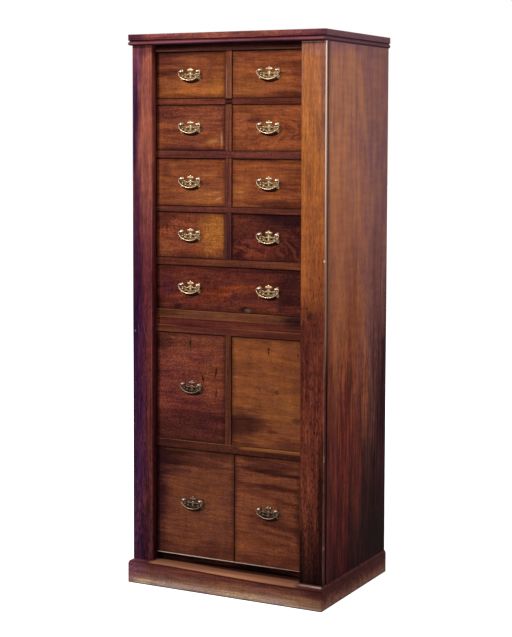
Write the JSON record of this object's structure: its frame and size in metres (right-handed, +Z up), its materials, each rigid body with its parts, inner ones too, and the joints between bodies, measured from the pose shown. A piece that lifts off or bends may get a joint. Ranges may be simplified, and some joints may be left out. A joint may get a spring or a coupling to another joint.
{
  "type": "wellington chest",
  "caption": "Tall free-standing wooden chest: small, long and deep drawers between a fixed pilaster and a hinged locking stile, on a plinth with a moulded top.",
  "frame": {"origin": "on the floor, under the middle of the chest's whole width and depth", "axes": "+Z up, -Y out of the drawer fronts, +X towards the hinged locking stile"},
  "size_m": [0.737, 0.54, 1.88],
  "materials": {
    "case_mahogany": "worn polish",
    "stile_mahogany": "worn polish",
    "plinth_mahogany": "worn polish",
    "drawer_mahogany": "worn polish",
    "pine": "bare, darkened by age",
    "bright_brass": "lacquered",
    "aged_brass": "tarnished",
    "lock_brass": "dull",
    "steel_bolt": "dull"
  },
  "bodies": {
    "carcass": {"top_board": "case_mahogany", "top_moulding": "case_mahogany", "left_side": "case_mahogany", "right_side": "case_mahogany", "back_boards": "pine", "plinth": "plinth_mahogany", "left_pilaster": "case_mahogany", "front_posts": "case_mahogany", "drawer_rails": "case_mahogany", "waist_rail": "case_mahogany", "muntins": "case_mahogany", "carcass_boards": "pine", "drawer_guides": "pine", "stile_fittings": "lock_brass"},
    "locking_stile": {"locking_stile": "stile_mahogany", "stile_pivots": "lock_brass", "stile_lock": "lock_brass"},
    "stile_lock_bolt": {"stile_lock_bolt": "steel_bolt"},
    "small_drawer_1_left": {"small_drawer_1_left": "drawer_mahogany", "handle_plate_1_left": "bright_brass"},
    "bail_1_left": {"bail_1_left": "bright_brass"},
    "small_drawer_1_right": {"small_drawer_1_right": "drawer_mahogany", "handle_plate_1_right": "bright_brass"},
    "bail_1_right": {"bail_1_right": "bright_brass"},
    "small_drawer_2_left": {"small_drawer_2_left": "drawer_mahogany", "handle_plate_2_left": "bright_brass"},
    "bail_2_left": {"bail_2_left": "bright_brass"},
    "small_drawer_2_right": {"small_drawer_2_right": "drawer_mahogany", "handle_plate_2_right": "bright_brass"},
    "bail_2_right": {"bail_2_right": "bright_brass"},
    "small_drawer_3_left": {"small_drawer_3_left": "drawer_mahogany", "handle_plate_3_left": "bright_brass"},
    "bail_3_left": {"bail_3_left": "bright_brass"},
    "small_drawer_3_right": {"small_drawer_3_right": "drawer_mahogany", "handle_plate_3_right": "bright_brass"},
    "bail_3_right": {"bail_3_right": "bright_brass"},
    "small_drawer_4_left": {"small_drawer_4_left": "drawer_mahogany", "handle_plate_4_left": "bright_brass"},
    "bail_4_left": {"bail_4_left": "bright_brass"},
    "small_drawer_4_right": {"small_drawer_4_right": "drawer_mahogany", "handle_plate_4_right": "bright_brass"},
    "bail_4_right": {"bail_4_right": "bright_brass"},
    "long_drawer": {"long_drawer": "drawer_mahogany", "handle_plate_long": "bright_brass"},
    "bail_long_left": {"bail_long_left": "bright_brass"},
    "bail_long_right": {"bail_long_right": "bright_brass"},
    "deep_drawer_left": {"deep_drawer_left": "drawer_mahogany", "handle_plate_deep_left": "aged_brass", "lock_deep_left": "lock_brass"},
    "lock_bolt_deep_left": {"lock_bolt_deep_left": "steel_bolt"},
    "bail_deep_left": {"bail_deep_left": "aged_brass"},
    "deep_drawer_right": {"deep_drawer_right": "drawer_mahogany", "lock_deep_right": "lock_brass"},
    "lock_bolt_deep_right": {"lock_bolt_deep_right": "steel_bolt"},
    "bottom_drawer_left": {"bottom_drawer_left": "drawer_mahogany", "handle_plate_bottom_left": "aged_brass"},
    "bail_bottom_left": {"bail_bottom_left": "aged_brass"},
    "bottom_drawer_right": {"bottom_drawer_right": "drawer_mahogany", "handle_plate_bottom_right": "aged_brass"},
    "bail_bottom_right": {"bail_bottom_right": "aged_brass"}
  },
  "joints": [
    {"name": "stile_hinge", "type": "hinge", "parent": "carcass", "child": "locking_stile", "pos_m": [0.3525, -0.232, 0.9605], "axis": [0, 0, 1], "range_deg": [0, 95]},
    {"name": "stile_bolt_slide", "type": "slide", "parent": "locking_stile", "child": "stile_lock_bolt", "axis": [-1, 0, 0], "range_m": [0, 0.008]},
    {"name": "small_drawer_1_left_slide", "type": "slide", "parent": "carcass", "child": "small_drawer_1_left", "axis": [0, -1, 0], "range_m": [0, 0.3]},
    {"name": "bail_1_left_hinge", "type": "hinge", "parent": "small_drawer_1_left", "child": "bail_1_left", "pos_m": [-0.15143, -0.2235, 1.7535], "axis": [-1, 0, 0], "range_deg": [0, 110]},
    {"name": "small_drawer_1_right_slide", "type": "slide", "parent": "carcass", "child": "small_drawer_1_right", "axis": [0, -1, 0], "range_m": [0, 0.3]},
    {"name": "bail_1_right_hinge", "type": "hinge", "parent": "small_drawer_1_right", "child": "bail_1_right", "pos_m": [0.14472, -0.2235, 1.7535], "axis": [-1, 0, 0], "range_deg": [0, 110]},
    {"name": "small_drawer_2_left_slide", "type": "slide", "parent": "carcass", "child": "small_drawer_2_left", "axis": [0, -1, 0], "range_m": [0, 0.3]},
    {"name": "bail_2_left_hinge", "type": "hinge", "parent": "small_drawer_2_left", "child": "bail_2_left", "pos_m": [-0.15143, -0.2235, 1.5775], "axis": [-1, 0, 0], "range_deg": [0, 110]},
    {"name": "small_drawer_2_right_slide", "type": "slide", "parent": "carcass", "child": "small_drawer_2_right", "axis": [0, -1, 0], "range_m": [0, 0.3]},
    {"name": "bail_2_right_hinge", "type": "hinge", "parent": "small_drawer_2_right", "child": "bail_2_right", "pos_m": [0.14472, -0.2235, 1.5775], "axis": [-1, 0, 0], "range_deg": [0, 110]},
    {"name": "small_drawer_3_left_slide", "type": "slide", "parent": "carcass", "child": "small_drawer_3_left", "axis": [0, -1, 0], "range_m": [0, 0.3]},
    {"name": "bail_3_left_hinge", "type": "hinge", "parent": "small_drawer_3_left", "child": "bail_3_left", "pos_m": [-0.15143, -0.2235, 1.3945], "axis": [-1, 0, 0], "range_deg": [0, 110]},
    {"name": "small_drawer_3_right_slide", "type": "slide", "parent": "carcass", "child": "small_drawer_3_right", "axis": [0, -1, 0], "range_m": [0, 0.3]},
    {"name": "bail_3_right_hinge", "type": "hinge", "parent": "small_drawer_3_right", "child": "bail_3_right", "pos_m": [0.14472, -0.2235, 1.3945], "axis": [-1, 0, 0], "range_deg": [0, 110]},
    {"name": "small_drawer_4_left_slide", "type": "slide", "parent": "carcass", "child": "small_drawer_4_left", "axis": [0, -1, 0], "range_m": [0, 0.3]},
    {"name": "bail_4_left_hinge", "type": "hinge", "parent": "small_drawer_4_left", "child": "bail_4_left", "pos_m": [-0.15143, -0.2235, 1.2165], "axis": [-1, 0, 0], "range_deg": [0, 110]},
    {"name": "small_drawer_4_right_slide", "type": "slide", "parent": "carcass", "child": "small_drawer_4_right", "axis": [0, -1, 0], "range_m": [0, 0.3]},
    {"name": "bail_4_right_hinge", "type": "hinge", "parent": "small_drawer_4_right", "child": "bail_4_right", "pos_m": [0.14472, -0.2235, 1.2165], "axis": [-1, 0, 0], "range_deg": [0, 110]},
    {"name": "long_drawer_slide", "type": "slide", "parent": "carcass", "child": "long_drawer", "axis": [0, -1, 0], "range_m": [0, 0.3]},
    {"name": "bail_long_left_hinge", "type": "hinge", "parent": "long_drawer", "child": "bail_long_left", "pos_m": [-0.15143, -0.2235, 1.0375], "axis": [-1, 0, 0], "range_deg": [0, 110]},
    {"name": "bail_long_right_hinge", "type": "hinge", "parent": "long_drawer", "child": "bail_long_right", "pos_m": [0.14472, -0.2235, 1.0375], "axis": [-1, 0, 0], "range_deg": [0, 110]},
    {"name": "deep_drawer_left_slide", "type": "slide", "parent": "carcass", "child": "deep_drawer_left", "axis": [0, -1, 0], "range_m": [0, 0.3]},
    {"name": "lock_bolt_deep_left_slide", "type": "slide", "parent": "deep_drawer_left", "child": "lock_bolt_deep_left", "axis": [0, 0, 1], "range_m": [0, 0.009]},
    {"name": "bail_deep_left_hinge", "type": "hinge", "parent": "deep_drawer_left", "child": "bail_deep_left", "pos_m": [-0.14542, -0.2235, 0.699], "axis": [-1, 0, 0], "range_deg": [0, 110]},
    {"name": "deep_drawer_right_slide", "type": "slide", "parent": "carcass", "child": "deep_drawer_right", "axis": [0, -1, 0], "range_m": [0, 0.3]},
    {"name": "lock_bolt_deep_right_slide", "type": "slide", "parent": "deep_drawer_right", "child": "lock_bolt_deep_right", "axis": [0, 0, 1], "range_m": [0, 0.009]},
    {"name": "bottom_drawer_left_slide", "type": "slide", "parent": "carcass", "child": "bottom_drawer_left", "axis": [0, -1, 0], "range_m": [0, 0.3]},
    {"name": "bail_bottom_left_hinge", "type": "hinge", "parent": "bottom_drawer_left", "child": "bail_bottom_left", "pos_m": [-0.14142, -0.2235, 0.3], "axis": [-1, 0, 0], "range_deg": [0, 110]},
    {"name": "bottom_drawer_right_slide", "type": "slide", "parent": "carcass", "child": "bottom_drawer_right", "axis": [0, -1, 0], "range_m": [0, 0.3]},
    {"name": "bail_bottom_right_hinge", "type": "hinge", "parent": "bottom_drawer_right", "child": "bail_bottom_right", "pos_m": [0.14672, -0.2235, 0.3], "axis": [-1, 0, 0], "range_deg": [0, 110]}
  ]
}
